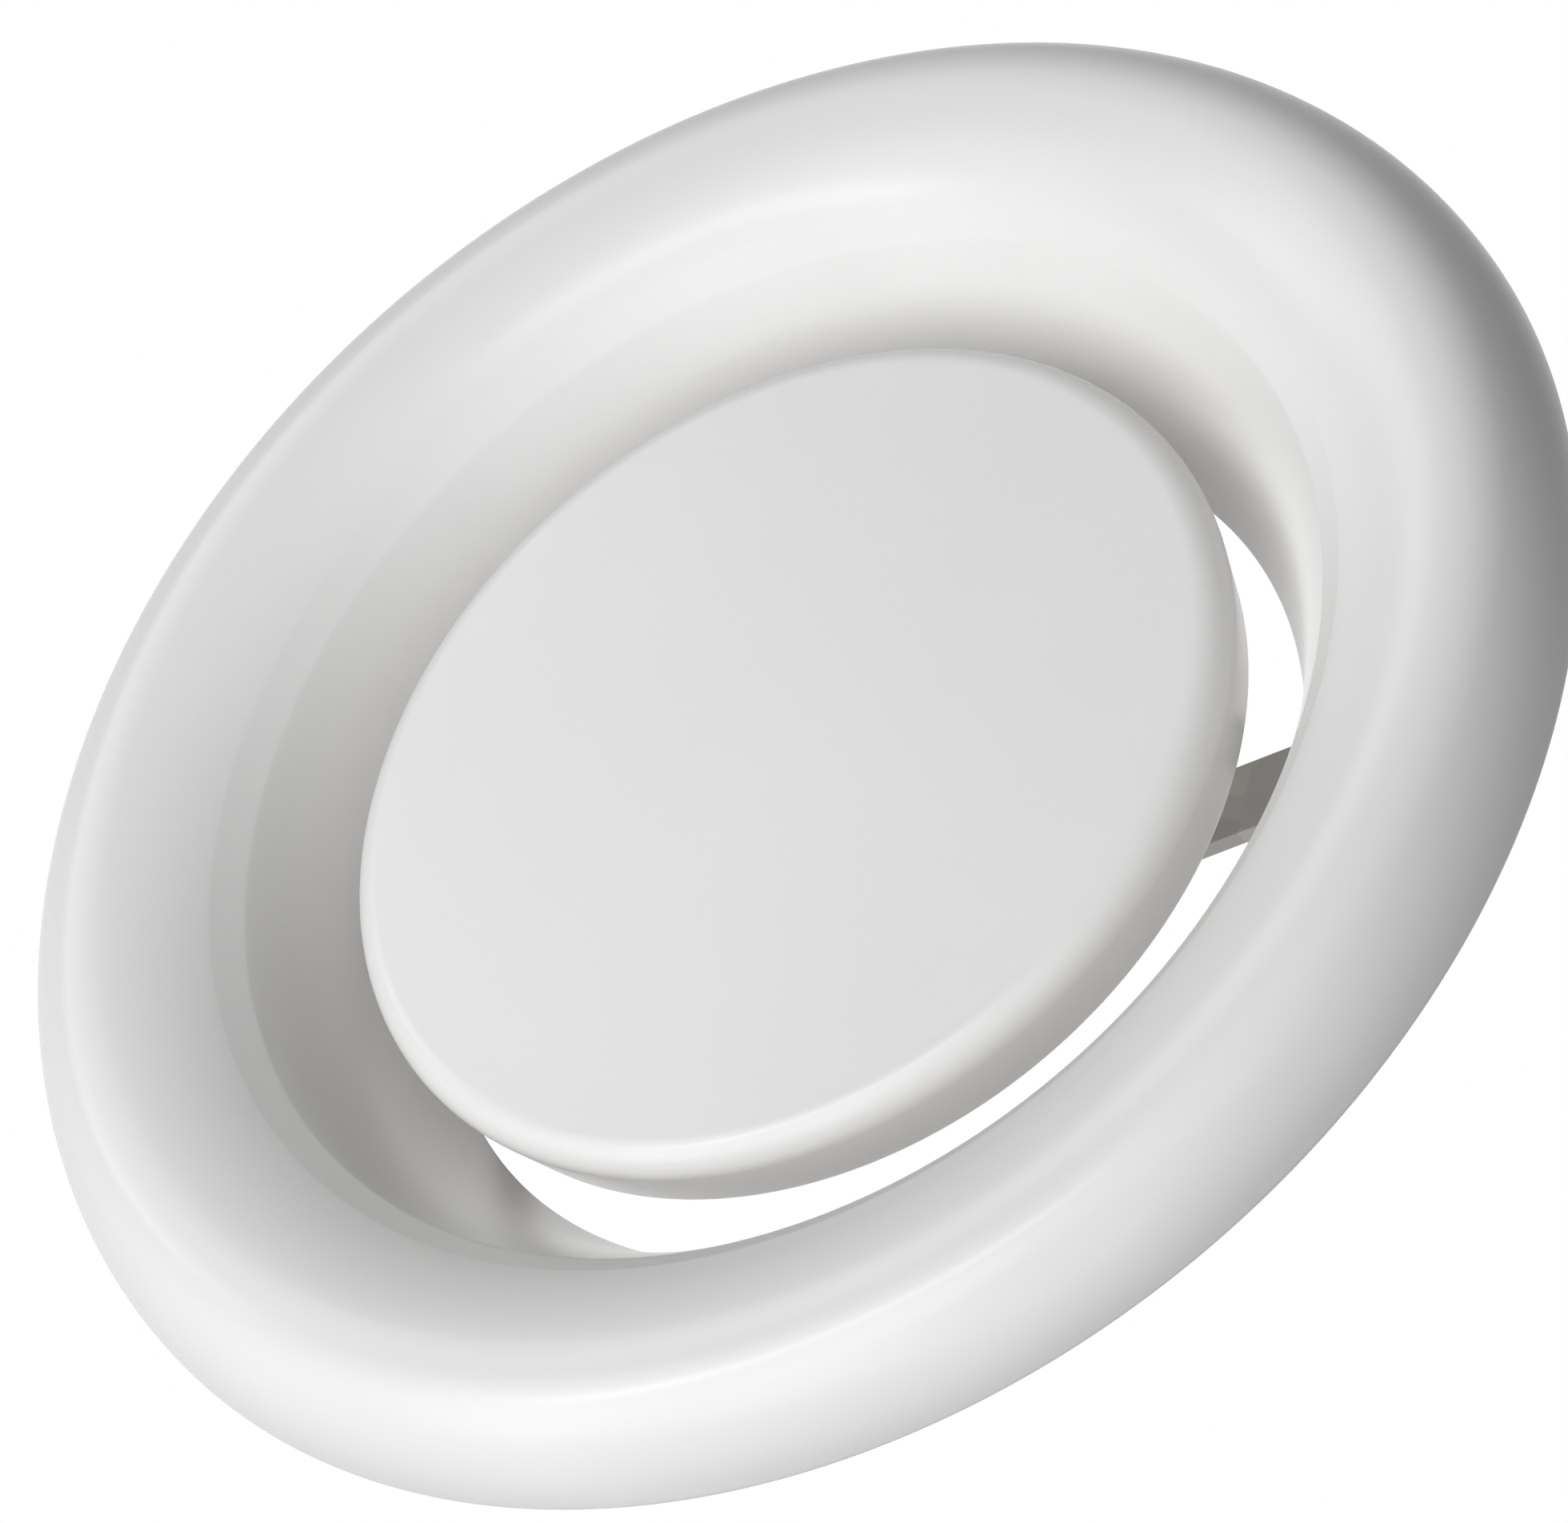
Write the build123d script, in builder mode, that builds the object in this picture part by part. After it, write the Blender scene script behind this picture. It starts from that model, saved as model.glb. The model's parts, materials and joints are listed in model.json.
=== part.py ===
from build123d import *
import os
from math import asin, atan2, cos, degrees, hypot, radians, sin, sqrt, tan

# Extract air valve for a 100 mm duct, in millimetres. The axis lies along Y with the front towards -Y and
# +Z up. The origin is on the axis, in the plane of the wall that the rim's flat back meets. Heights are
# counted along the axis towards the front, so what lies behind the wall plane has a negative height.

# Front ring
RING_RADIUS = 68.5
CREST_HEIGHT = 9.7
SHEET = 0.7
HEM_RADIUS = 0.9
RIM_LIP = 3.0
NOSE_WIDTH = 7.0
CREASE_HEIGHT = 4.2
BAND_WIDTH = 2.2
BAND_ANGLE = 42.0
BAND_BEND = 1.6
CREASE_BEND = 1.2

# Throat
THROAT_RADIUS = 39.15
THROAT_DEPTH = 13.0
THROAT_BOW = 70.0

# Neck collar and its gasket
NECK_RADIUS = 49.65
NECK_DEPTH = 16.5
COLLAR_BEND = 1.2
SEAM_GAP = 0.1
SPIGOT_ROOM = 2.45
GASKET_WIDTH = 4.5
GASKET_PROUD = 1.5
GASKET_GAP = 0.02

# Disc
DISC_OVERLAP = 0.1
DISC_HEIGHT = 3.25
DISC_SHEET = 0.8
DISC_EDGE = 2.4
DISC_TAPER = 15.0
DISC_DEPTH = 8.6

# Hub of the disc
HUB_FLANGE_RADIUS = 13.0
HUB_FLANGE = 1.5
HUB_RADIUS = 6.5
HUB_LENGTH = 5.6
HUB_FILLET = 1.5

# Screw spindle, nuts and washers
SPINDLE_RADIUS = 3.0
SPINDLE_DEPTH = 38.5
SPINDLE_CHAMFER = 0.6
SPINDLE_TIP_GAP = 0.5
THREAD_PLAY = 0.05
NUT_WIDTH = 10.0
NUT_HEIGHT = 5.0
THIN_NUT_HEIGHT = 3.2
NUT_CHAMFER = 30.0
WASHER_RADIUS = 6.0
WASHER_HOLE_RADIUS = 3.2
WASHER_SHEET = 1.2
FACE_GAP = 0.05

# Crossbar, its bush and its rivets
BAR_HEIGHT = -23.8
BAR_SHEET = 1.5
BAR_WIDTH = 6.6
BAR_BEND = 2.5
BAR_LEG = 18.6
BAR_WALL_GAP = 0.05
EYE_RADIUS = 8.0
EYE_FILLET = 4.0
BUSH_RADIUS = 6.0
BUSH_HEIGHT = 3.6
BUSH_SPIGOT_RADIUS = 4.2
BUSH_CHAMFER = 0.5
RIVET_RADIUS = 1.6
RIVET_HEAD_RADIUS = 2.2
RIVET_HEAD = 0.6
RIVET_SINK = 0.1
RIVET_UPSET_RADIUS = 2.3
RIVET_UPSET = 1.0
RIVET_FIRST = 2.8
RIVET_STEP = 4.8
RIVET_PLAY = 0.03

# Section plane: its x is the radius, along +X, and its y is the height, towards the front.
SECTION = Plane(origin=(0, 0, 0), x_dir=(1, 0, 0), z_dir=(0, 0, -1))
VALVE_AXIS = Axis.Y


def front_plane(height):
    """The plane across the axis at a height, facing the front, with X to the right and Z up."""
    return Plane.XZ.offset(height)


def heading(angle):
    """The direction on the section that leads inwards, and backwards by an angle in degrees."""
    return (-cos(radians(angle)), -sin(radians(angle)))


def turned(corners):
    """A piece turned about the valve's axis from the section polygon through the corners."""
    with BuildPart() as piece:
        with BuildSketch(SECTION):
            with BuildLine():
                Polyline(*corners, close=True)
            make_face()
        revolve(axis=VALVE_AXIS)
    return piece


def washer(back):
    """A flat washer whose back face is at a height."""
    with BuildPart() as piece:
        with BuildSketch(front_plane(back)):
            Circle(WASHER_RADIUS)
            Circle(WASHER_HOLE_RADIUS, mode=Mode.SUBTRACT)
        extrude(amount=WASHER_SHEET)
    return piece


def hex_nut(back, thickness):
    """A hexagon nut whose back face is at a height, with both ends chamfered and a running hole."""
    corner_radius = NUT_WIDTH / sqrt(3)
    face_radius = NUT_WIDTH / 2
    drop = (corner_radius - face_radius) * tan(radians(NUT_CHAMFER))
    front = back + thickness
    with BuildPart() as piece:
        with BuildSketch(front_plane(back)):
            RegularPolygon(radius=face_radius, side_count=6, major_radius=False)
            Circle(SPINDLE_RADIUS + THREAD_PLAY, mode=Mode.SUBTRACT)
        extrude(amount=thickness)
        with BuildSketch(SECTION):
            with BuildLine():
                Polyline(
                    (0, back),
                    (face_radius, back),
                    (corner_radius, back + drop),
                    (corner_radius, front - drop),
                    (face_radius, front),
                    (0, front),
                    close=True,
                )
            make_face()
        revolve(axis=VALVE_AXIS, mode=Mode.INTERSECT)
    return piece


# The ring's front surface, as points of the section. The band lies over the collar's flared edge, so the
# crease stands inside the collar by the sheet's own lean there.
neck_inside = NECK_RADIUS - SHEET
crease_radius = neck_inside - SHEET * sin(radians(BAND_ANGLE))
band_rise = BAND_WIDTH * tan(radians(BAND_ANGLE))
crease = (crease_radius, CREASE_HEIGHT)
band_top = (crease_radius + BAND_WIDTH, CREASE_HEIGHT + band_rise)

# The bullnose is two arcs of 45 degrees, a tight one from the hem and a wider one up to the crest.
nose_height = CREST_HEIGHT - HEM_RADIUS
half_turn = cos(radians(45))
nose_share = half_turn**2 - (1 - half_turn) ** 2
outer_nose = (nose_height * half_turn - NOSE_WIDTH * (1 - half_turn)) / nose_share
inner_nose = (NOSE_WIDTH * half_turn - nose_height * (1 - half_turn)) / nose_share

# The slope is one arc that leaves the crest level and reaches the band.
crest_radius = RING_RADIUS - NOSE_WIDTH
slope_run = crest_radius - band_top[0]
slope_fall = CREST_HEIGHT - band_top[1]
slope_radius = (slope_run**2 + slope_fall**2) / (2 * slope_fall)
slope_turn = degrees(asin(slope_run / slope_radius))

# The throat wall is one arc of the bow's radius from the crease to the back edge.
throat_run = crease_radius - THROAT_RADIUS
throat_fall = CREASE_HEIGHT + THROAT_DEPTH
throat_lean = degrees(atan2(throat_fall, throat_run))
throat_half_turn = degrees(asin(hypot(throat_run, throat_fall) / 2 / THROAT_BOW))

with BuildPart() as valve_ring:
    with BuildSketch(SECTION):
        with BuildLine() as ring_front:
            lip = Line((RING_RADIUS - HEM_RADIUS - RIM_LIP, 0), (RING_RADIUS - HEM_RADIUS, 0))
            hem = JernArc(lip @ 1, (1, 0), HEM_RADIUS, 90)
            outer_arc = JernArc(hem @ 1, (0, 1), outer_nose, 45)
            inner_arc = JernArc(outer_arc @ 1, outer_arc % 1, inner_nose, 45)
            slope = JernArc(inner_arc @ 1, (-1, 0), slope_radius, slope_turn)
            Line(slope @ 1, crease)
            JernArc(crease, heading(throat_lean - throat_half_turn), THROAT_BOW, 2 * throat_half_turn)
            fillet(ring_front.vertices().sort_by_distance(band_top)[0], radius=BAND_BEND)
            fillet(ring_front.vertices().sort_by_distance(crease)[0], radius=CREASE_BEND)
            offset(amount=SHEET, side=Side.LEFT)
        make_face()
    revolve(axis=VALVE_AXIS)

# The collar's flare follows the band's back, and turns into the neck just outside the crease.
flare_drop = (SHEET + SEAM_GAP) / cos(radians(BAND_ANGLE))
flare_top = (band_top[0], band_top[1] - flare_drop)
flare_rise = (neck_inside - crease_radius) * tan(radians(BAND_ANGLE))
flare_foot = (neck_inside, CREASE_HEIGHT + flare_rise - flare_drop)

# The crossbar's legs stand inside the collar, and two rivets through each leg hold them.
leg_outside = sqrt(neck_inside**2 - (BAR_WIDTH / 2) ** 2) - BAR_WALL_GAP
leg_front = BAR_HEIGHT + BAR_LEG
rivet_top = NECK_RADIUS - RIVET_SINK
rivet_grip = rivet_top - leg_outside + BAR_SHEET
rivet_heights = [leg_front - RIVET_FIRST - i * RIVET_STEP for i in range(2)]
rivet_seats = [
    Location((side * rivet_top, -height, 0), (0, side * 90, 0))
    for side in (1, -1)
    for height in rivet_heights
]
flush = (Align.CENTER, Align.CENTER, Align.MAX)


def rivet(play, mode):
    """The countersunk heads and shanks at all rivet seats, grown by the play for a hole."""
    with Locations(*rivet_seats):
        Cone(RIVET_RADIUS + play, RIVET_HEAD_RADIUS + play, RIVET_HEAD, align=flush, mode=mode)
        Cylinder(RIVET_RADIUS + play, rivet_grip, align=flush, mode=mode)


with BuildPart() as neck_collar:
    with BuildSketch(SECTION):
        with BuildLine() as collar_inside:
            Polyline(flare_top, flare_foot, (neck_inside, -NECK_DEPTH))
            fillet(collar_inside.vertices().sort_by_distance(flare_foot)[0], radius=COLLAR_BEND)
            offset(amount=SHEET, side=Side.LEFT)
        make_face()
    revolve(axis=VALVE_AXIS)
    rivet(RIVET_PLAY, Mode.SUBTRACT)

# The gasket lies in the ring's hollow back, outside the room that a duct's spigot needs round the neck.
gasket_inside = NECK_RADIUS + SPIGOT_ROOM
gasket_outside = gasket_inside + GASKET_WIDTH


def under_ring(radius):
    """The height of the ring's back, less the gasket's gap, at a radius on the slope or the inner nose."""
    arc_radius = slope_radius if radius < crest_radius else inner_nose
    reach = abs(crest_radius - radius)
    return CREST_HEIGHT - arc_radius + sqrt((arc_radius - SHEET - GASKET_GAP) ** 2 - reach**2)


flange_gasket = turned(
    [
        (gasket_inside, -GASKET_PROUD),
        (gasket_outside, -GASKET_PROUD),
        (gasket_outside, under_ring(gasket_outside)),
        (gasket_inside, under_ring(gasket_inside)),
    ]
)

# The disc's side wall leans inwards below the rounded edge, so that it closes on the throat by its edge.
disc_radius = THROAT_RADIUS + DISC_OVERLAP
edge_turn = 90 + DISC_TAPER
edge_drop = DISC_EDGE * (1 + sin(radians(DISC_TAPER)))
side_length = (DISC_DEPTH - edge_drop) / cos(radians(DISC_TAPER))

with BuildPart() as disc_dish:
    with BuildSketch(SECTION):
        with BuildLine():
            face = Line((0, DISC_HEIGHT), (disc_radius - DISC_EDGE, DISC_HEIGHT))
            edge = JernArc(face @ 1, (1, 0), DISC_EDGE, -edge_turn)
            side = PolarLine(edge @ 1, side_length, direction=edge % 1)
            offset(amount=DISC_SHEET, side=Side.RIGHT)
        make_face()
    revolve(axis=VALVE_AXIS)

# Heights of the stack that holds the spindle in the dish
dish_inside = DISC_HEIGHT - DISC_SHEET
hub_back = dish_inside - HUB_LENGTH
hub_washer_back = hub_back - FACE_GAP - WASHER_SHEET
hub_nut_back = hub_washer_back - FACE_GAP - THIN_NUT_HEIGHT
thread_hole = SPINDLE_RADIUS + THREAD_PLAY

with BuildPart() as disc_hub:
    with BuildSketch(SECTION):
        with BuildLine() as hub_section:
            boss_foot = (HUB_RADIUS, dish_inside - HUB_FLANGE)
            Polyline(
                (thread_hole, dish_inside),
                (HUB_FLANGE_RADIUS, dish_inside),
                (HUB_FLANGE_RADIUS, dish_inside - HUB_FLANGE),
                boss_foot,
                (HUB_RADIUS, hub_back),
                (thread_hole, hub_back),
                close=True,
            )
            fillet(hub_section.vertices().sort_by_distance(boss_foot)[0], radius=HUB_FILLET)
        make_face()
    revolve(axis=VALVE_AXIS)

hub_washer = washer(hub_washer_back)
hub_nut = hex_nut(hub_nut_back, THIN_NUT_HEIGHT)

spindle_front = dish_inside - SPINDLE_TIP_GAP

with BuildPart() as spindle:
    with BuildSketch(front_plane(-SPINDLE_DEPTH)):
        Circle(SPINDLE_RADIUS)
    extrude(amount=SPINDLE_DEPTH + spindle_front)
    chamfer(spindle.edges().filter_by(GeomType.CIRCLE), length=SPINDLE_CHAMFER)

# The crossbar is a strap with legs turned to the front, and a round eye in the middle for the bush.
bar_back = BAR_HEIGHT - BAR_SHEET

with BuildPart() as crossbar:
    with BuildSketch(SECTION):
        with BuildLine():
            FilletPolyline(
                (leg_outside, leg_front),
                (leg_outside, bar_back),
                (-leg_outside, bar_back),
                (-leg_outside, leg_front),
                radius=BAR_BEND,
            )
            offset(amount=BAR_SHEET, side=Side.RIGHT)
        make_face()
    extrude(amount=BAR_WIDTH / 2, both=True)
    with BuildSketch(front_plane(bar_back)):
        Circle(EYE_RADIUS)
    extrude(amount=BAR_SHEET)
    upright_edges = crossbar.edges().filter_by(VALVE_AXIS)
    eye_corners = upright_edges.filter_by(lambda edge: abs(edge.center().X) < EYE_RADIUS)
    fillet(eye_corners, radius=EYE_FILLET)
    with Locations(front_plane(BAR_HEIGHT)):
        Hole(BUSH_SPIGOT_RADIUS + RIVET_PLAY)
    rivet(RIVET_PLAY, Mode.SUBTRACT)

with BuildPart() as crossbar_rivets:
    rivet(0, Mode.ADD)
    with Locations(*[seat * Location((0, 0, -rivet_grip)) for seat in rivet_seats]):
        Cylinder(RIVET_UPSET_RADIUS, RIVET_UPSET, align=flush)

spindle_bush = turned(
    [
        (thread_hole, bar_back),
        (BUSH_SPIGOT_RADIUS, bar_back),
        (BUSH_SPIGOT_RADIUS, BAR_HEIGHT),
        (BUSH_RADIUS, BAR_HEIGHT),
        (BUSH_RADIUS, BAR_HEIGHT + BUSH_HEIGHT - BUSH_CHAMFER),
        (BUSH_RADIUS - BUSH_CHAMFER, BAR_HEIGHT + BUSH_HEIGHT),
        (thread_hole, BAR_HEIGHT + BUSH_HEIGHT),
    ]
)

lock_washer_back = bar_back - FACE_GAP - WASHER_SHEET
lock_nut_back = lock_washer_back - FACE_GAP - NUT_HEIGHT
lock_washer = washer(lock_washer_back)
lock_nut = hex_nut(lock_nut_back, NUT_HEIGHT)

pieces = {
    "valve_ring": valve_ring,
    "neck_collar": neck_collar,
    "flange_gasket": flange_gasket,
    "disc_dish": disc_dish,
    "disc_hub": disc_hub,
    "hub_washer": hub_washer,
    "hub_nut": hub_nut,
    "spindle": spindle,
    "crossbar": crossbar,
    "crossbar_rivets": crossbar_rivets,
    "spindle_bush": spindle_bush,
    "lock_washer": lock_washer,
    "lock_nut": lock_nut,
}

os.makedirs("parts", exist_ok=True)
for name, piece in pieces.items():
    piece.part.label = name
    export_step(piece.part, f"parts/{name}.step")
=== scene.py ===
import json

import bpy
import numpy as np
from mathutils import Matrix, Vector

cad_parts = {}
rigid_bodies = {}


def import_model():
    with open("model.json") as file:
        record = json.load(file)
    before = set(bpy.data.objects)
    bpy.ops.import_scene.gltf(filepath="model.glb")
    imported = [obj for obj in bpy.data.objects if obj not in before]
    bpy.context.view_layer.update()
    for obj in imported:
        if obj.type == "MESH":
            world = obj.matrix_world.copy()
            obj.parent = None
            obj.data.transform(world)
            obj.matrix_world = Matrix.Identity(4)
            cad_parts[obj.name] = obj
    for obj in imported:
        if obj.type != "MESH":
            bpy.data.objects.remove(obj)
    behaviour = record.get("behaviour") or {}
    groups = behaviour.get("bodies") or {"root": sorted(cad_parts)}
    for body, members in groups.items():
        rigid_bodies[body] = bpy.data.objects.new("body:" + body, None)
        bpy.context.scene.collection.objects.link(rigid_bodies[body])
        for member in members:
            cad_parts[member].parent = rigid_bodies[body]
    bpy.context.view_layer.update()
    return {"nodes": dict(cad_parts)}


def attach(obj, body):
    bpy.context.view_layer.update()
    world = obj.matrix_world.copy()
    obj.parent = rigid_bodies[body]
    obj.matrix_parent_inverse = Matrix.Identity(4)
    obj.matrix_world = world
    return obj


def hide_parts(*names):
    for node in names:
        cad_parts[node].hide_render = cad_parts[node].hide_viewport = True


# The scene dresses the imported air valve. Sections are in millimetres as (radius, height), with the height
# counted along the valve's axis towards the front, which is -Y. Meshes are in metres.
MM = 0.001
MICRON = 0.000001

# Front ring
RING_RADIUS = 68.5
CREST_HEIGHT = 9.7
SHEET = 0.7
HEM_RADIUS = 0.9
RIM_LIP = 3.0
NOSE_WIDTH = 7.0
CREASE_HEIGHT = 4.2
BAND_WIDTH = 2.2
BAND_ANGLE = 42.0
BAND_BEND = 1.6
CREASE_BEND = 1.2
NECK_RADIUS = 49.65
THROAT_RADIUS = 39.15
THROAT_DEPTH = 13.0
THROAT_BOW = 70.0

# Disc
DISC_OVERLAP = 0.1
DISC_RADIUS = THROAT_RADIUS + DISC_OVERLAP
DISC_HEIGHT = 3.25
DISC_SHEET = 0.8
DISC_EDGE = 2.4
DISC_TAPER = 15.0
DISC_DEPTH = 8.6

# Spindle, with a thread whose crests and roots are flat for a share of the pitch
SPINDLE_RADIUS = 3.0
SPINDLE_TIP_GAP = 0.5
SPINDLE_FRONT = DISC_HEIGHT - DISC_SHEET - SPINDLE_TIP_GAP
SPINDLE_BACK = -38.5
SPINDLE_CHAMFER = 0.6
END_RING = 0.2
THREAD_PITCH = 1.0
THREAD_DEPTH = 0.6
THREAD_FLAT = 0.125

# Foam gasket
SPIGOT_ROOM = 2.45
GASKET_WIDTH = 4.5
GASKET_INSIDE = NECK_RADIUS + SPIGOT_ROOM
GASKET_OUTSIDE = GASKET_INSIDE + GASKET_WIDTH
GASKET_BACK = -1.5
GASKET_GAP = 0.15
GASKET_CORNER = 0.7

# The foam's uneven skin: depths as shares of its section, angles about the axis in radians
WAVE_DEPTH = 0.012
WAVES_ROUND = 5
SWELLS_ROUND = 3
WAVE_START = 1.3
JOINT_DEPTH = 0.10
JOINT_ANGLE = 4.1
JOINT_WIDTH = 0.006

# Fineness of the meshes: steps round the axis, rows along the thread, the most millimetres or degrees of an
# arc between the points of a section, and the points of a half round edge and of a foam corner
RING_STEPS = 320
DISC_STEPS = 256
SPINDLE_STEPS = 40
SPINDLE_ROWS = 640
GASKET_STEPS = 360
POINT_SPACING = 0.25
ARC_SPACING = 6
EDGE_POINTS = 10
CORNER_POINTS = 15

# Camera in metres, with its lens in millimetres. Its axes were found by matching the ring's and the disc's
# outlines to the photograph.
CAMERA_RIGHT = Vector((0.8833, 0.4632, -0.0723))
CAMERA_UP = Vector((0.3478, -0.5440, 0.7636))
CAMERA_BACK = Vector((0.3143, -0.6997, -0.6416))
CAMERA_DISTANCE = 0.685
CAMERA_NEAR = 0.02
CAMERA_LENS = 196.46
CAMERA_SENSOR = 36.0
CAMERA_SHIFT_X = -0.0067
CAMERA_SHIFT_Y = -0.0004

# Floor and lamps in metres and watts. The lamps are a little cool, so that the warm white paint looks
# neutral in the open and warm in its hollows.
FLOOR_HEIGHT = -1.5
FLOOR_HALF = 1.6
FLOOR_LAMP_HEIGHT = -0.8
FLOOR_LAMP_SIZE = 3.0
FLOOR_LAMP_POWER = 9.0
LAMP_COLOUR = (0.965, 0.98, 1.0)
LAMP_DISTANCE = 1.2
UPRIGHT = (0, 1, 0)
ROOM_FILL = 0.035

# Sizes of the ring that follow from those above: the crease and the band inside the neck, the nose as two
# arcs of 45 degrees, and the slope as one arc that leaves the crest level
crease_radius = NECK_RADIUS - SHEET - SHEET * np.sin(np.radians(BAND_ANGLE))
band_rise = BAND_WIDTH * np.tan(np.radians(BAND_ANGLE))
nose_height = CREST_HEIGHT - HEM_RADIUS
nose_cosine = np.cos(np.radians(45))
nose_share = nose_cosine**2 - (1 - nose_cosine) ** 2
outer_nose = (nose_height * nose_cosine - NOSE_WIDTH * (1 - nose_cosine)) / nose_share
inner_nose = (NOSE_WIDTH * nose_cosine - nose_height * (1 - nose_cosine)) / nose_share
slope_run = RING_RADIUS - NOSE_WIDTH - crease_radius - BAND_WIDTH
slope_fall = CREST_HEIGHT - CREASE_HEIGHT - band_rise
slope_radius = (slope_run**2 + slope_fall**2) / (2 * slope_fall)
slope_turn = np.arcsin(slope_run / slope_radius)


def run(start, heading, length, turn):
    """Points along one run of a section: from a start point and a heading in degrees, a straight line of
    that length, or a circular arc of that length that turns by an angle in degrees, positive to the left.
    The point at length s of an arc of radius R = length / turn is the start plus R times the left normal
    at 0 less the left normal at s. Returns the points after the start, the last one and the last heading."""
    count = max(2, int(np.ceil(length / POINT_SPACING)), int(np.ceil(abs(turn) / ARC_SPACING)))
    share = np.arange(1, count + 1) / count
    begin = np.radians(heading)
    if turn == 0:
        way = np.stack([np.cos(begin) * share, np.sin(begin) * share], axis=1) * length
    else:
        angle = begin + np.radians(turn) * share
        radius = length / np.radians(turn)
        way = radius * np.stack([np.sin(angle) - np.sin(begin), np.cos(begin) - np.cos(angle)], axis=1)
    points = np.asarray(start) + way
    return points, points[-1], heading + turn


def walk(start, heading, runs):
    """The points of a section line from a start point and heading through runs of (length, turn)."""
    points = [np.asarray([start], dtype=float)]
    place = start
    for length, turn in runs:
        part, place, heading = run(place, heading, length, turn)
        points.append(part)
    return np.concatenate(points)


def left_of(line):
    """Unit normals to the left of a section line, from the central difference of its points."""
    along = np.gradient(line, axis=0)
    along /= np.linalg.norm(along, axis=1, keepdims=True)
    return np.stack([-along[:, 1], along[:, 0]], axis=1)


def sheet_section(line, thickness, open_start):
    """The closed section of a sheet whose one face is the line and whose other face lies to its left (or to
    its right for a negative thickness): the line, a half round edge, the offset line run backwards, and a
    second half round edge unless the start lies on the axis."""
    normal = left_of(line)
    other = line + normal * thickness
    around = np.linspace(0, np.pi, EDGE_POINTS)[1:-1, None]
    middle, reach = (line[-1] + other[-1]) / 2, (line[-1] - other[-1]) / 2
    ahead = np.array([normal[-1, 1], -normal[-1, 0]]) * abs(thickness) / 2
    parts = [line, middle + reach * np.cos(around) + ahead * np.sin(around), other[::-1]]
    if open_start:
        middle, reach = (line[0] + other[0]) / 2, (other[0] - line[0]) / 2
        behind = np.array([-normal[0, 1], normal[0, 0]]) * abs(thickness) / 2
        parts.append(middle + reach * np.cos(around) + behind * np.sin(around))
    return np.concatenate(parts)


def mesh_object(name, points, faces):
    """A smooth mesh object at the origin from points in metres. The signed volume of its closed surface, the
    sum of each triangle's corner product over six, tells whether the faces point inwards, and they are then
    run the other way."""
    triangles = np.concatenate([np.stack([f[:, 0], f[:, k], f[:, k + 1]], axis=1)
                                for f in faces for k in range(1, f.shape[1] - 1)])
    a, b, c = points[triangles[:, 0]], points[triangles[:, 1]], points[triangles[:, 2]]
    if np.einsum("ij,ij->i", a, np.cross(b, c)).sum() < 0:
        faces = [f[:, ::-1] for f in faces]
    mesh = bpy.data.meshes.new(name)
    mesh.from_pydata(points.tolist(), [], [row for f in faces for row in f.tolist()])
    mesh.polygons.foreach_set("use_smooth", np.ones(len(mesh.polygons), dtype=bool))
    mesh.update()
    piece = bpy.data.objects.new(name, mesh)
    bpy.context.scene.collection.objects.link(piece)
    return piece


def all_round(steps):
    """A column of angles in equal steps round the axis."""
    return np.linspace(0, 2 * np.pi, steps, endpoint=False)[:, None]


def round_the_axis(radius, height, angle):
    """Points in metres at a radius and a height in millimetres and an angle about the valve's axis."""
    radius, height, angle = np.broadcast_arrays(radius, height, angle)
    return np.stack([radius * np.cos(angle), -height, radius * np.sin(angle)], axis=-1) * MM


def ring_of_quads(across, along, close_along):
    """Faces of a grid of points with the first index round the axis, which always closes, and the second
    along the section, which closes if asked: each joins four neighbours."""
    grid = np.arange(across * along).reshape(across, along)
    nexts = np.roll(grid, -1, axis=0)
    if close_along:
        corners = [grid, nexts, np.roll(nexts, -1, axis=1), np.roll(grid, -1, axis=1)]
    else:
        corners = [grid[:, :-1], nexts[:, :-1], nexts[:, 1:], grid[:, 1:]]
    return np.stack(corners, axis=-1).reshape(-1, 4)


def looped(name, points):
    """A piece from a grid of points round the axis and along a section that closes on itself."""
    steps, rows = points.shape[:2]
    return mesh_object(name, points.reshape(-1, 3), [ring_of_quads(steps, rows, True)])


def capped(name, points, front, back):
    """A piece from a grid of points round the axis and along a section, closed at both ends of the section
    by a fan of triangles to a pole on the axis, at the front and the back height."""
    steps, rows = points.shape[:2]
    count = steps * rows
    poles = np.array([[0, -front, 0], [0, -back, 0]]) * MM
    grid = np.arange(count).reshape(steps, rows)
    nexts = np.roll(grid, -1, axis=0)
    front_fan = np.stack([nexts[:, 0], grid[:, 0], np.full(steps, count)], axis=1)
    back_fan = np.stack([grid[:, -1], nexts[:, -1], np.full(steps, count + 1)], axis=1)
    faces = [ring_of_quads(steps, rows, False), front_fan, back_fan]
    return mesh_object(name, np.concatenate([points.reshape(-1, 3), poles]), faces)


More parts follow.
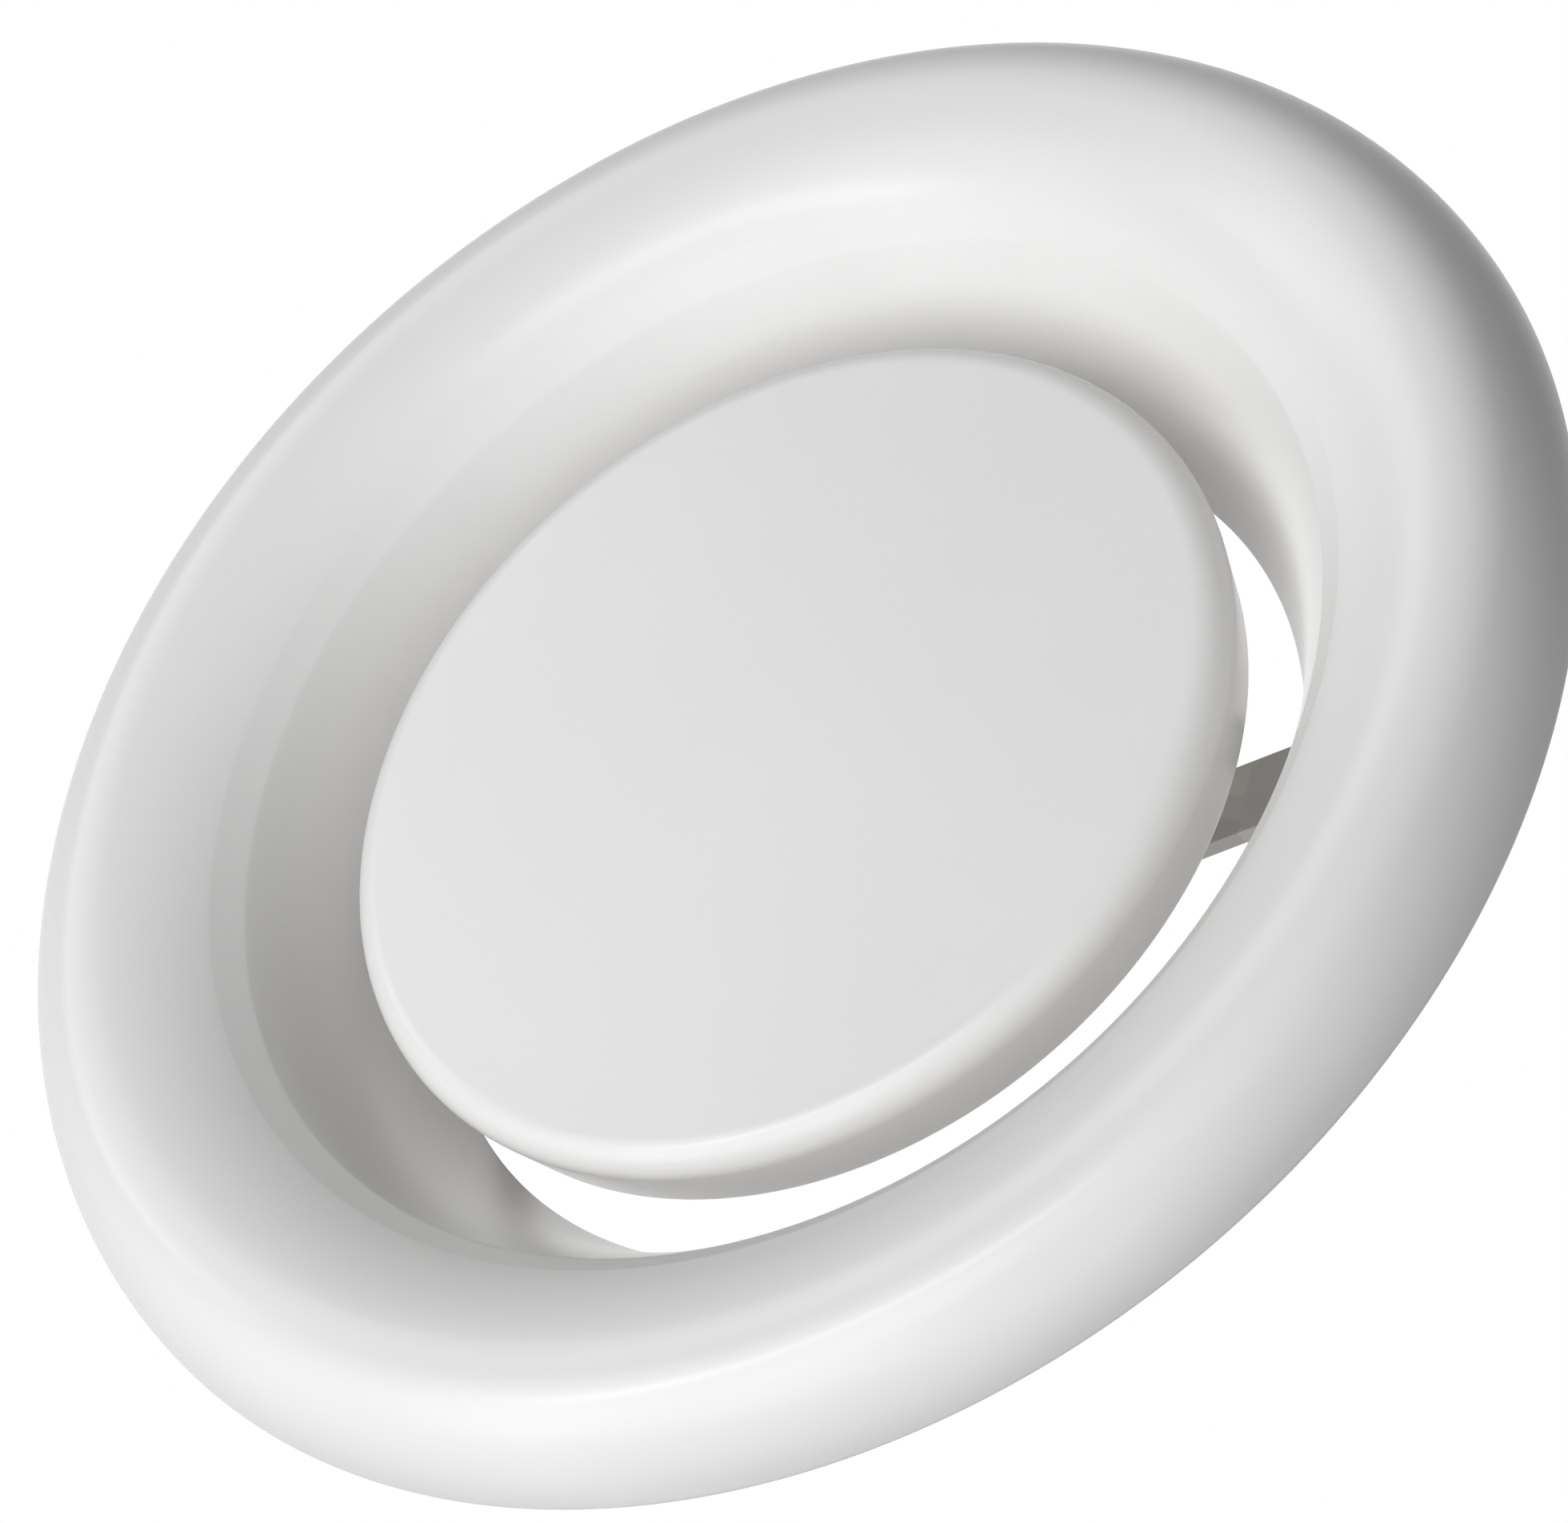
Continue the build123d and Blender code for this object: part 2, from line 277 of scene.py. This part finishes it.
def ring_front_line():
    """The ring's front from the lip behind the rim to the throat's back edge: a straight lip, the hem's
    quarter turn, two nose arcs of 45 degrees, the slope's arc, the straight band between two small bends,
    and the throat's long arc. Each bend shortens its neighbours by its radius times the tangent of half its
    turn."""
    half_sheet = SHEET / 2
    throat_run, throat_fall = crease_radius - THROAT_RADIUS, CREASE_HEIGHT + THROAT_DEPTH
    throat_lean = np.degrees(np.arctan2(throat_fall, throat_run))
    throat_half = np.degrees(np.arcsin(np.hypot(throat_run, throat_fall) / 2 / THROAT_BOW))
    band_turn = BAND_ANGLE - np.degrees(slope_turn)
    crease_turn = throat_lean - throat_half - BAND_ANGLE
    band_trim = BAND_BEND * np.tan(np.radians(abs(band_turn) / 2))
    crease_trim = CREASE_BEND * np.tan(np.radians(abs(crease_turn) / 2))
    slope_length = slope_radius * slope_turn - band_trim
    throat_length = THROAT_BOW * np.radians(2 * throat_half) - crease_trim - half_sheet
    start = (RING_RADIUS - HEM_RADIUS - RIM_LIP + half_sheet, 0)
    return walk(start, 0, [
        (RIM_LIP - half_sheet, 0),
        (HEM_RADIUS * np.pi / 2, 90),
        (outer_nose * np.pi / 4, 45),
        (inner_nose * np.pi / 4, 45),
        (slope_length, np.degrees(slope_length / slope_radius)),
        (BAND_BEND * np.radians(abs(band_turn)), band_turn),
        (np.hypot(BAND_WIDTH, band_rise) - band_trim - crease_trim, 0),
        (CREASE_BEND * np.radians(abs(crease_turn)), crease_turn),
        (throat_length, np.degrees(throat_length / THROAT_BOW)),
    ])


def valve_ring_piece():
    """The drawn ring: its front line thickened to the sheet, with round edges, and turned about the axis.
    The point at an angle and a place on the section lies at that place's radius and height."""
    section = sheet_section(ring_front_line(), SHEET, True)
    return looped("front_ring", round_the_axis(section[:, 0], section[:, 1], all_round(RING_STEPS)))


def disc_piece():
    """The pressed dish: a flat face, a rounded edge and a side wall that leans inwards, thickened backwards
    to the sheet and turned about the axis. Its section starts and ends on the axis, at the poles."""
    edge_drop = DISC_EDGE * (1 + np.sin(np.radians(DISC_TAPER)))
    side = (DISC_DEPTH - edge_drop) / np.cos(np.radians(DISC_TAPER)) - DISC_SHEET / 2
    turn = 90 + DISC_TAPER
    line = walk((0, DISC_HEIGHT), 0, [
        (DISC_RADIUS - DISC_EDGE, 0),
        (DISC_EDGE * np.radians(turn), -turn),
        (side, 0),
    ])
    section = sheet_section(line, -DISC_SHEET, False)
    between = section[1:-1]
    points = round_the_axis(between[:, 0], between[:, 1], all_round(DISC_STEPS))
    return capped("disc_plate", points, section[0, 1], section[-1, 1])


def spindle_piece():
    """The threaded rod, a screw surface: at an angle and a height the radius falls from the crest by a
    triangle wave of the height plus the pitch times the turn, cut by the end chamfers. With this sign the
    screw is left-handed. A second ring on each flat end keeps its edge crisp."""
    height = np.linspace(SPINDLE_FRONT, SPINDLE_BACK, SPINDLE_ROWS)
    height = np.concatenate([height[:1], height, height[-1:]])
    angle = all_round(SPINDLE_STEPS)
    phase = (height / THREAD_PITCH + angle / (2 * np.pi)) % 1
    flank = np.abs(2 * phase - 1)
    groove = np.clip((flank - THREAD_FLAT) / (1 - 2 * THREAD_FLAT), 0, 1) * THREAD_DEPTH
    end = np.minimum(SPINDLE_FRONT - height, height - SPINDLE_BACK)
    radius = np.minimum(SPINDLE_RADIUS - groove, SPINDLE_RADIUS - SPINDLE_CHAMFER + end)
    radius[:, [0, -1]] -= END_RING
    return capped("threaded_spindle", round_the_axis(radius, height, angle), SPINDLE_FRONT, SPINDLE_BACK)


def gasket_section():
    """The foam's section: four straight sides, with its two front corners close under the slope's back, on
    a circle of the slope's radius less the sheet and a gap. Each corner is rounded by a parabola between two
    points on its sides."""
    reach = RING_RADIUS - NOSE_WIDTH - np.array([GASKET_INSIDE, GASKET_OUTSIDE])
    back_radius = slope_radius - SHEET - GASKET_GAP
    top = CREST_HEIGHT - slope_radius + np.sqrt(back_radius**2 - reach**2)
    corners = np.array([
        [GASKET_INSIDE, GASKET_BACK],
        [GASKET_OUTSIDE, GASKET_BACK],
        [GASKET_OUTSIDE, top[1]],
        [GASKET_INSIDE, top[0]],
    ])
    share = np.linspace(0, 1, CORNER_POINTS)[:, None]
    bends = []
    for corner, before, after in zip(corners, np.roll(corners, 1, axis=0), np.roll(corners, -1, axis=0)):
        come = corner + (before - corner) / np.linalg.norm(before - corner) * GASKET_CORNER
        leave = corner + (after - corner) / np.linalg.norm(after - corner) * GASKET_CORNER
        bends.append((1 - share) ** 2 * come + 2 * share * (1 - share) * corner + share**2 * leave)
    return np.concatenate(bends)


def gasket_piece():
    """The foam ring: its section carried round the axis and pulled in towards its middle by a slow wave, one
    plus a sine times a cosine of multiples of the angle, and by a narrow bell-shaped groove where the
    strip's two ends meet."""
    section = gasket_section()
    middle = section.mean(axis=0)
    angle = all_round(GASKET_STEPS)
    wave = 1 + np.sin(WAVES_ROUND * angle + WAVE_START) * np.cos(SWELLS_ROUND * angle)
    joint = np.exp(-(((angle - JOINT_ANGLE) / JOINT_WIDTH) ** 2))
    pull = 1 - WAVE_DEPTH * wave - JOINT_DEPTH * joint
    place = middle + (section - middle) * pull[:, :, None]
    return looped("foam_gasket", round_the_axis(place[:, :, 0], place[:, :, 1], angle))


class Finish:
    """A procedural material on Object coordinates, with short calls for its nodes."""

    def __init__(self, name):
        self.material = bpy.data.materials.new(name)
        self.material.use_nodes = True
        self.nodes = self.material.node_tree.nodes
        self.links = self.material.node_tree.links
        self.shader = self.nodes["Principled BSDF"]
        self.place = self.nodes.new("ShaderNodeTexCoord").outputs["Object"]

    def fill(self, socket, value):
        """Links an input socket to an output socket, or sets it to a constant."""
        if isinstance(value, bpy.types.NodeSocket):
            self.links.new(value, socket)
        else:
            socket.default_value = value

    def node(self, kind, inputs, **settings):
        """A node of a kind, with inputs set or linked by socket name and attributes set by name."""
        made = self.nodes.new("ShaderNode" + kind)
        for key, value in settings.items():
            setattr(made, key, value)
        for name, value in inputs.items():
            self.fill(made.inputs[name], value)
        return made

    def noise(self, scale, detail=3.0, place=None):
        """Cloudy noise from 0 to 1, with a scale in cells to the metre."""
        made = self.node("TexNoise", {"Vector": place or self.place, "Scale": scale, "Detail": detail})
        return made.outputs["Fac"]

    def cells(self, scale, output):
        """Irregular cells, so many to the metre: each one's own Color, or the Distance from its middle."""
        return self.node("TexVoronoi", {"Vector": self.place, "Scale": scale}).outputs[output]

    def ramp(self, value, *stops):
        """A colour ramp through two stops of (position, colour)."""
        made = self.node("ValToRGB", {"Fac": value})
        for element, (position, tone) in zip(made.color_ramp.elements, stops):
            element.position = position
            element.color = (*tone, 1)
        return made.outputs["Color"]

    def between(self, value, low, high):
        """A value from 0 to 1 mapped to the span from low to high."""
        made = self.node("MapRange", {"Value": value, "To Min": low, "To Max": high})
        return made.outputs["Result"]

    def bump(self, height, depth, strength, under=None):
        """A bump of a height from 0 to 1 over a depth in metres, on top of another bump if given."""
        inputs = {"Height": height, "Distance": depth, "Strength": strength}
        if under is not None:
            inputs["Normal"] = under
        return self.node("Bump", inputs).outputs["Normal"]

    def set(self, **sockets):
        """Sets or links the shader's sockets, whose names are written with _ for a space."""
        for name, value in sockets.items():
            self.fill(self.shader.inputs[name.replace("_", " ")], value)
        return self.material


def white_paint():
    """Satin white powder coat: very fine orange peel, a slow drift in tone and gloss, and a little grain."""
    paint = Finish("white_powder_coat")
    drift = paint.noise(scale=34, detail=2)
    tone = paint.ramp(drift, (0.25, (0.822, 0.808, 0.790)), (0.75, (0.85, 0.838, 0.822)))
    peel = paint.bump(paint.noise(scale=900, detail=2), depth=12 * MICRON, strength=0.35)
    level = paint.bump(paint.noise(scale=5200, detail=2), depth=4 * MICRON, strength=0.25, under=peel)
    gloss = paint.between(paint.noise(scale=60, detail=4), low=0.20, high=0.26)
    return paint.set(Base_Color=tone, Roughness=gloss, Normal=level, IOR=1.4)


def galvanised_strip():
    """Dull galvanised strip: zinc spangle in flat cells of differing grey, with fine rolling scratches."""
    zinc = Finish("galvanised_strip")
    spangle = zinc.node("SeparateColor", {"Color": zinc.cells(420.0, "Color")}).outputs["Red"]
    stretch = zinc.node("Mapping", {"Vector": zinc.place, "Scale": (40, 900, 2600)}).outputs["Vector"]
    lines = zinc.noise(scale=1.0, detail=4, place=stretch)
    tone = zinc.ramp(spangle, (0.0, (0.68, 0.66, 0.62)), (1.0, (0.83, 0.805, 0.76)))
    level = zinc.bump(lines, depth=10 * MICRON, strength=0.4)
    gloss = zinc.between(spangle, low=0.38, high=0.58)
    return zinc.set(Base_Color=tone, Metallic=0.25, Roughness=gloss, Normal=level)


def zinc_plate():
    """Bright zinc plate on turned parts: fine rings round the axis, broken by noise, and a faint cloud."""
    plate = Finish("zinc_plate")
    rings = plate.node(
        "TexWave",
        {"Vector": plate.place, "Scale": 900.0, "Distortion": 1.2, "Detail": 2.0},
        wave_type="RINGS",
        rings_direction="Y",
    ).outputs["Fac"]
    cloud = plate.noise(scale=260)
    tone = plate.ramp(cloud, (0.3, (0.58, 0.58, 0.57)), (0.7, (0.72, 0.72, 0.70)))
    level = plate.bump(rings, depth=8 * MICRON, strength=0.4)
    gloss = plate.between(cloud, low=0.24, high=0.36)
    return plate.set(Base_Color=tone, Metallic=1.0, Roughness=gloss, Normal=level)


def rivet_aluminium():
    """Plain aluminium of the rivets: a soft cloud in tone and fine set marks."""
    metal = Finish("rivet_aluminium")
    cloud = metal.noise(scale=700)
    tone = metal.ramp(cloud, (0.3, (0.66, 0.66, 0.67)), (0.7, (0.80, 0.80, 0.81)))
    level = metal.bump(metal.noise(scale=2400), depth=10 * MICRON, strength=0.5)
    gloss = metal.between(cloud, low=0.3, high=0.45)
    return metal.set(Base_Color=tone, Metallic=1.0, Roughness=gloss, Normal=level)


def cell_foam():
    """Matt closed-cell foam: small round pits of two sizes in a dark grey skin, with painted shade that
    darkens the small pits towards their middles.
    """
    foam = Finish("cell_foam")
    pits = foam.cells(2200.0, "Distance")
    # Painted shade: the tone darkens towards the middle of each small pit, where the bump is deepest.
    tone = foam.ramp(pits, (0.1, (0.03, 0.03, 0.032)), (0.6, (0.085, 0.085, 0.088)))
    large = foam.bump(foam.cells(900.0, "Distance"), depth=100 * MICRON, strength=0.5)
    level = foam.bump(pits, depth=120 * MICRON, strength=0.7, under=large)
    gloss = foam.between(foam.noise(scale=400), low=0.82, high=0.97)
    return foam.set(Base_Color=tone, Roughness=gloss, Normal=level)


def floor_paint():
    """Plain pale matt paint with a faint drift in tone."""
    paint = Finish("pale_floor")
    drift = paint.noise(scale=3, detail=2)
    tone = paint.ramp(drift, (0.3, (0.80, 0.80, 0.80)), (0.7, (0.83, 0.83, 0.83)))
    return paint.set(Base_Color=tone, Roughness=0.8)


def paint_node(node, material):
    """Gives a CAD node its finish."""
    for place in node.material_slots:
        place.material = material


def dressed(piece, material, body, node):
    """Gives a new piece its finish and its body, and hides the CAD node that it stands for."""
    piece.data.materials.append(material)
    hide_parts(node)
    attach(piece, body)


def pale_floor():
    """A plain pale floor well below the valve, which has no foot to stand on."""
    mesh = bpy.data.meshes.new("pale_floor")
    sides = [(-1, -1), (1, -1), (1, 1), (-1, 1)]
    mesh.from_pydata([(FLOOR_HALF * x, FLOOR_HALF * y, FLOOR_HEIGHT) for x, y in sides], [], [(0, 1, 2, 3)])
    mesh.materials.append(floor_paint())
    floor = bpy.data.objects.new("pale_floor", mesh)
    bpy.context.scene.collection.objects.link(floor)


def looking_in(place, up):
    """The matrix of a lamp or camera at a place that looks at the origin, with its top towards up."""
    back = place.normalized()
    right = up.cross(back).normalized()
    turn = Matrix((right, back.cross(right), back)).transposed().to_4x4()
    return Matrix.Translation(place) @ turn


def photo_camera():
    """A camera at the photograph's viewing angle, with its small offset of the axis from the middle."""
    data = bpy.data.cameras.new("photo_camera")
    data.lens = CAMERA_LENS
    data.sensor_width = CAMERA_SENSOR
    data.shift_x = CAMERA_SHIFT_X
    data.shift_y = CAMERA_SHIFT_Y
    data.clip_start = CAMERA_NEAR
    camera = bpy.data.objects.new("photo_camera", data)
    camera.matrix_world = looking_in(CAMERA_BACK.normalized() * CAMERA_DISTANCE, CAMERA_UP)
    bpy.context.scene.collection.objects.link(camera)
    bpy.context.scene.camera = camera


def along_camera(direction):
    """A unit vector from its shares along the camera's right, up and back axes."""
    right, up, back = direction
    return (CAMERA_RIGHT * right + CAMERA_UP * up + CAMERA_BACK * back).normalized()


def area_lamp(name, power):
    """An area lamp in the studio's light colour that the camera doesn't see."""
    data = bpy.data.lights.new(name, "AREA")
    data.energy = power
    data.color = LAMP_COLOUR
    lamp = bpy.data.objects.new(name, data)
    lamp.visible_camera = False
    bpy.context.scene.collection.objects.link(lamp)
    return lamp


def softbox(name, direction, width, height, power, distance=LAMP_DISTANCE, top=UPRIGHT):
    """A lamp in a direction from the valve and turned to it, with its height towards top. Both are given
    along the camera's right, up and back axes."""
    lamp = area_lamp(name, power)
    lamp.data.shape = "RECTANGLE"
    lamp.data.size = width
    lamp.data.size_y = height
    lamp.matrix_world = looking_in(along_camera(direction) * distance, along_camera(top))
    return lamp


def studio_lamps():
    """The lamps that give the photograph's highlights and shades, one for the valve's back, which makes no
    highlight, and a wide one under the valve that shines down on the floor only."""
    softbox("left_softbox", (-0.79, 0, 0.62), width=1.25, height=1.53, power=4.9)
    softbox("front_softbox", (-0.2, -0.21, 0.96), width=1.39, height=1.39, power=5.6)
    softbox("low_right_softbox", (0.47, -0.57, 0.67), width=1.12, height=1.12, power=1.5)
    softbox("near_left_softbox", (-0.66, -0.24, 0.71), width=0.5, height=0.5, power=0.85, distance=0.5)
    softbox("top_left_strip", (-0.72, 0.3, 0.62), width=0.16, height=0.8, power=2.2, top=(0.53, 0.42, 0.40))
    softbox("rim_strip", (-0.78, 0.6, -0.1), width=0.3, height=0.6, power=1.7, top=(0.6, 0.78, 0))
    back = softbox("back_softbox", (0, 0, -1), width=0.5, height=0.5, power=5.0)
    back.visible_glossy = False
    floor_lamp = area_lamp("floor_light", FLOOR_LAMP_POWER)
    floor_lamp.data.size = FLOOR_LAMP_SIZE
    floor_lamp.location = (0, 0, FLOOR_LAMP_HEIGHT)


def white_studio():
    """A white room for the camera and for reflections, and an even grey fill for the light on the object."""
    world = bpy.data.worlds.new("white_studio")
    bpy.context.scene.world = world
    world.use_nodes = True
    nodes, links = world.node_tree.nodes, world.node_tree.links
    shade = nodes["Background"]
    shade.inputs["Color"].default_value = (1, 1, 1, 1)
    path = nodes.new("ShaderNodeLightPath")
    seen = path.outputs["Is Camera Ray"]
    for name in ("Is Glossy Ray", "Is Transmission Ray"):
        either = nodes.new("ShaderNodeMath")
        either.operation = "MAXIMUM"
        links.new(seen, either.inputs[0])
        links.new(path.outputs[name], either.inputs[1])
        seen = either.outputs[0]
    level = nodes.new("ShaderNodeMapRange")
    level.inputs["To Min"].default_value = ROOM_FILL
    links.new(seen, level.inputs["Value"])
    links.new(level.outputs["Result"], shade.inputs["Strength"])


def main():
    """Loads the frame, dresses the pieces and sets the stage."""
    bpy.ops.object.select_all(action="SELECT")
    bpy.ops.object.delete()
    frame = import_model()
    nodes = frame["nodes"]

    white = white_paint()
    plate = zinc_plate()
    dressed(valve_ring_piece(), white, "housing", "valve_ring")
    dressed(disc_piece(), white, "disc", "disc_dish")
    dressed(spindle_piece(), plate, "disc", "spindle")
    gasket = gasket_piece()
    dressed(gasket, cell_foam(), "housing", "flange_gasket")

    paint_node(nodes["neck_collar"], white)
    paint_node(nodes["crossbar"], galvanised_strip())
    paint_node(nodes["crossbar_rivets"], rivet_aluminium())
    for name in ("spindle_bush", "disc_hub", "hub_washer", "hub_nut", "lock_washer", "lock_nut"):
        paint_node(nodes[name], plate)

    pale_floor()
    photo_camera()
    studio_lamps()
    white_studio()
    bpy.context.scene.view_settings.view_transform = "Standard"


main()
